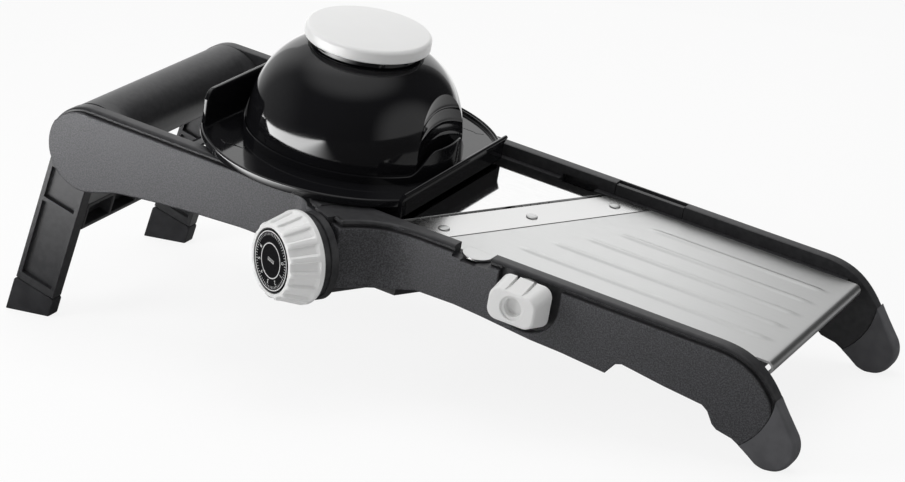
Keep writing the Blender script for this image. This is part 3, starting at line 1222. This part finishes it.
def stand_crossbar(stand):
    """A channel between the legs, open to the front, with ribs across it."""
    x0, x1 = STAND_BAR_BACK_X, STAND_BAR_BACK_X + STAND_BAR_DEPTH
    z0, z1 = STAND_BAR_TOP - STAND_BAR_HEIGHT, STAND_BAR_TOP
    reach = LEG_INNER_Y - GAP
    bar = box("stand_crossbar", (x0, x1), (-reach, reach), (z0, z1))
    cell = (2 * reach - STAND_BAR_WALL) / (STAND_BAR_RIBS + 1)
    for i in range(STAND_BAR_RIBS + 1):
        start = -reach + STAND_BAR_WALL + i * cell
        cut(bar, box("bar_cell", (x0 + STAND_BAR_WALL, x1 + OVERRUN), (start, start + cell - STAND_BAR_WALL),
                     (z0 + STAND_BAR_WALL, z1 - STAND_BAR_WALL)))
    return put(bar, grained_plastic(), stand, native=True)


def pivot_pin(name, side, deck):
    """A headed pin through the leg, with its end in the rail's web."""
    tip = RAIL_OUTER_Y - RAIL_WEB + PIN_HOLE_DEPTH - GAP
    head_end = LEG_INNER_Y - GAP
    profile = [(0, tip), (PIN_RADIUS, tip), (PIN_RADIUS, head_end), (PIN_HEAD_RADIUS, head_end),
               (PIN_HEAD_RADIUS, head_end - PIN_HEAD), (0, head_end - PIN_HEAD)]
    return put(turned(name, [(r, side * y) for r, y in profile], SMALL_STEPS, "Y", (PIVOT_X, 0, PIVOT_Z)),
               satin_steel(), deck)


def flange_outline():
    """The holder's flange from above: two arcs at its sides, cut straight at its back and front."""
    points = []
    for side in (1, -1):
        start, end = (FLANGE_FRONT_SHARE, -FLANGE_BACK_SHARE)[::side]
        points += arc(HOLDER_X, side * FLANGE_OFFSET_Y, FLANGE_RADIUS, math.degrees(math.acos(start)) * side,
                      math.degrees(math.acos(end)) * side, 14)
    return points


def holder_base(holder):
    """The flange with its rim, a tall wall at the back, a low one in front and skirts inside the rails."""
    outline = flange_outline()
    rim_top = FLANGE_BOTTOM + FLANGE_THICKNESS + RIM_HEIGHT
    base = prism("holder_base", outline, FLANGE_BOTTOM, rim_top)
    cut(base, prism("rim_room", offset(outline, -RIM_WIDTH), FLANGE_BOTTOM + FLANGE_THICKNESS, rim_top + OVERRUN))
    back = HOLDER_X - FLANGE_BACK
    inner_corner = BACK_WALL_HALF_SPAN - BACK_WALL_CORNER
    wall_round = BACK_WALL_TOP - BACK_WALL_CORNER
    back_outline = ([(-BACK_WALL_HALF_SPAN, FLANGE_BOTTOM), (BACK_WALL_HALF_SPAN, FLANGE_BOTTOM)]
                    + arc(inner_corner, wall_round, BACK_WALL_CORNER, 0, 90, 4)
                    + arc(-inner_corner, wall_round, BACK_WALL_CORNER, 90, 180, 4))
    back_wall = prism("back_wall", back_outline, back, back + WALL_THICKNESS, "YZ")
    front = HOLDER_X + FLANGE_FRONT
    bend = FRONT_LIP_BEND_Z
    front_wall = box("front_wall", (front - WALL_THICKNESS, front), (-FRONT_WALL_HALF_SPAN, FRONT_WALL_HALF_SPAN),
                     (FRONT_WALL_BOTTOM, bend))
    flare = FRONT_LIP_FLARE
    lip_section = [(front - WALL_THICKNESS, FLANGE_BOTTOM), (front, FLANGE_BOTTOM), (front, bend),
                   (front + flare, FRONT_WALL_TOP), (front + flare - WALL_THICKNESS, FRONT_WALL_TOP),
                   (front - WALL_THICKNESS, bend)]
    lip = prism("front_lip", lip_section, -FRONT_LIP_HALF_SPAN, FRONT_LIP_HALF_SPAN, "XZ")
    hole = rod("food_hole", FLANGE_HOLE, -OVERRUN, rim_top, DOME_STEPS, "Z", (HOLDER_X, 0, 0))
    join(base, back_wall, front_wall, lip)
    for side in (-1, 1):
        join(base, box("skirt", (HOLDER_X - SKIRT_HALF_LENGTH, HOLDER_X + SKIRT_HALF_LENGTH),
                       sides(side, SKIRT_OUTER_Y - SKIRT_THICKNESS, SKIRT_OUTER_Y),
                       (SKIRT_BOTTOM, FLANGE_BOTTOM + FLANGE_THICKNESS / 2)))
    return put(cut(base, hole), gloss_black(), holder)


def dome_profile(radius, height, top, bottom):
    """A dome's outline from the flat on its top down, as a superellipse."""
    points = [(0, top)]
    start = math.acos(min((top / height), 1) ** (DOME_POWER / 2))
    for i in range(10):
        angle = start + (math.pi / 2 - start) * i / 9
        points.append((radius * math.sin(angle) ** (2 / DOME_POWER), height * math.cos(angle) ** (2 / DOME_POWER)))
    points[-1] = (radius, bottom)
    return points + [(0, bottom)]


def scoop(side, growth):
    """The egg shape that hollows one end of the dome, for a thumb or fingers."""
    radii = (SCOOP_DEPTH + growth, SCOOP_SPREAD + growth, SCOOP_SPREAD + growth)
    centre = Vector((HOLDER_X + side * (DOME_RADIUS + SCOOP_OUT), 0, SCOOP_Z))
    profile = [(math.sin(math.pi * i / 12), math.cos(math.pi * i / 12)) for i in range(13)]
    profile[0], profile[-1] = (0, 1), (0, -1)
    egg = turned("scoop", profile, FINE_STEPS)
    for vertex in egg.data.vertices:
        vertex.co = centre + Vector(vertex.co[i] * radii[i] for i in range(3))
    return egg


def holder_dome(holder):
    """The dome over the food, hollow, with a flat top, a hole for the stem and a scoop at each end."""
    bottom = FLANGE_BOTTOM + FLANGE_THICKNESS + GAP
    centre = (HOLDER_X, 0, 0)
    dome = turned("holder_dome", dome_profile(DOME_RADIUS, DOME_HEIGHT, DOME_TOP, bottom), DOME_STEPS, "Z", centre)
    cavity = turned("dome_cavity", dome_profile(DOME_RADIUS - DOME_WALL, DOME_HEIGHT - DOME_WALL,
                                                DOME_TOP - DOME_WALL, bottom - OVERRUN), DOME_STEPS, "Z", centre)
    for side in (-1, 1):
        cut(dome, scoop(side, 0))
        cut(cavity, scoop(side, DOME_WALL))
    cut(dome, cavity, rod("stem_hole", STEM_RADIUS + GAP, DOME_TOP - 2 * DOME_WALL, DOME_TOP + OVERRUN, FINE_STEPS,
                          "Z", centre))
    return put(dome, gloss_black(), holder)


def pusher_stem(plunger):
    """The plunger: a stem through the dome, with a broad disc under the cap."""
    seat = PUSHER_BOTTOM + PUSHER_THICKNESS + GAP
    disc_low = DOME_TOP + GAP
    disc_high = CAP_BOTTOM - GAP
    profile = [(0, disc_high), (NECK_RADIUS, disc_high), (NECK_RADIUS, disc_low), (STEM_RADIUS, disc_low),
               (STEM_RADIUS, seat), (0, seat)]
    return put(turned("pusher_stem", profile, FINE_STEPS, "Z", (HOLDER_X, 0, 0)), gloss_black(), plunger)


def pusher_cap(plunger):
    """The white cap: nearly flat on top, with a rounded rim."""
    rim = CAP_RADIUS - CAP_ROUND
    top = CAP_BOTTOM + CAP_HEIGHT - CAP_CROWN
    profile = ([(0, top + CAP_CROWN), (rim / 2, top + CAP_CROWN * 3 / 4)]
               + [(rim + dr, z) for dr, z in arc(0, top - CAP_ROUND, CAP_ROUND, 90, 0, 4)]
               + [(CAP_RADIUS, CAP_BOTTOM + CAP_ROUND / 2), (rim, CAP_BOTTOM), (0, CAP_BOTTOM)])
    return put(turned("pusher_cap", profile, DOME_STEPS, "Z", (HOLDER_X, 0, 0)), white_plastic(), plunger)


def pusher_plate(plunger):
    """The plate that presses the food down, with pins that hold it."""
    top = PUSHER_BOTTOM + PUSHER_THICKNESS
    plate = rod("pusher_plate", PUSHER_RADIUS, PUSHER_BOTTOM, top, DOME_STEPS, "Z")
    for side in (-1, 1):
        trim(plate, (side * PUSHER_FLAT_X, 0, 0), (side, 0, 0))
    for vertex in plate.data.vertices:
        vertex.co.x += HOLDER_X
    centre = (HOLDER_X, 0, 0)
    socket = STEM_RADIUS + GAP
    join(plate, turned("stem_socket", [(socket, top - PUSHER_THICKNESS / 2),
                                       (socket + PUSHER_BOSS_WALL, top - PUSHER_THICKNESS / 2),
                                       (socket + PUSHER_BOSS_WALL, top + PUSHER_BOSS_HEIGHT),
                                       (socket, top + PUSHER_BOSS_HEIGHT)], FINE_STEPS, "Z", centre))
    tip = PUSHER_BOTTOM - PUSHER_PIN_LENGTH
    for share, count in PUSHER_PIN_RING_SHARES:
        radius = PUSHER_RADIUS * share
        for i in range(count):
            angle = 2 * math.pi * i / count
            place = (HOLDER_X + radius * math.cos(angle), radius * math.sin(angle), 0)
            root = top - PUSHER_THICKNESS / 2
            join(plate, turned("pusher_pin", [(0, tip), (PUSHER_PIN_TIP, tip), (PUSHER_PIN_RADIUS, root), (0, root)],
                               8, "Z", place))
    return put(plate, gloss_black(), plunger)


def build():
    sine, cosine = math.sin(DECK_TILT), math.cos(DECK_TILT)
    boots = (PIVOT_X * cosine + PIVOT_Z * sine - LEG_REACH * math.sin(STAND_LEAN)
             - (LEG_HALF_WIDTH + BOOT_WALL) / math.cos(STAND_LEAN))
    nose = NOSE_X * cosine + NOSE_Z * sine + NOSE_RADIUS
    dial_side = -RAIL_OUTER_Y + min(q * ALONG[1] + radius * ACROSS[1] for radius, q, share in dial_profile())
    holder_side = FLANGE_RADIUS + FLANGE_OFFSET_Y

    place = (-(boots + nose) / 2, -(dial_side + holder_side) / 2, DECK_HEIGHT)
    deck = empty("deck", place, (0, DECK_TILT, 0), None)
    diagonal = empty("diagonal", (DIAGONAL_X, -RAIL_OUTER_Y, DIAGONAL_Z), (0, 0, math.pi / 2 - DIAGONAL_ANGLE), deck)
    dial = empty("dial", (0, 0, 0), (0, 0, 0), diagonal)
    stand = empty("stand", (PIVOT_X, 0, PIVOT_Z), (0, STAND_LEAN - DECK_TILT, 0), deck)
    ramp = empty("ramp", (POST_X, 0, RAMP_CARRIER_TOP), (0, 0, 0), deck)
    insert = empty("insert", (LIP_X, 0, OUTFEED_TOP - LIP_RADIUS), (0, 0, 0), deck)
    selector = empty("selector", (SELECTOR_X, -RAIL_OUTER_Y, SELECTOR_Z), (0, 0, 0), deck)
    comb = empty("comb", (*diagonal_point(COMB_POST_NEAR_Q, COMB_POST_S), COMB_TOP), (0, 0, 0), deck)
    holder = empty("holder", (HOLDER_X, 0, FLANGE_BOTTOM), (0, 0, 0), deck)
    plunger = empty("plunger", (0, 0, CAP_BOTTOM), (0, 0, 0), holder)

    deck_up = Vector((-sine, 0, cosine))
    stand_up = Vector((-math.sin(STAND_LEAN), 0, math.cos(STAND_LEAN)))
    deck_floor = -deck_up * DECK_HEIGHT
    stand_floor = Vector((0, 0, -LEG_REACH))

    near_rail(deck, diagonal)
    far_rail(deck)
    far_bearing_cover(deck)
    handle_grip(deck)
    rear_crossbar(deck)
    front_crossbar(deck)
    blade_beam(deck)
    far_shaft_bearing(diagonal)
    dial_housing(diagonal)
    dial_collar(diagonal)
    for name, side in (("near", -1), ("far", 1)):
        soft_foot(name + "_front_foot", side, deck, deck_up, deck_floor)
        pivot_pin(name + "_pivot_pin", side, deck)
        leg(name + "_leg", side, stand)
        leg_boot(name + "_leg_boot", side, stand, stand_up, stand_floor)
    stand_crossbar(stand)

    dial_knob(dial)
    dial_face(dial)
    dial_screw(dial)
    dial_shaft(dial)
    lift_cam("near_cam", NEAR_CAM_Q, dial)
    lift_cam("far_cam", FAR_CAM_Q, dial)
    infeed_plate(ramp)
    ramp_carrier(ramp)

    outfeed_plate(insert)
    blade(insert)
    blade_carrier(insert)
    for i, place in enumerate(rivet_places()):
        blade_rivet("blade_rivet_%d" % (i + 1), place, insert)
    selector_knob(selector)
    selector_shaft(selector)
    comb_carrier(comb)
    julienne_blade(comb)

    holder_base(holder)
    holder_dome(holder)
    for made in (pusher_stem(plunger), pusher_cap(plunger), pusher_plate(plunger)):
        made.location = -plunger.location - holder.location


build()
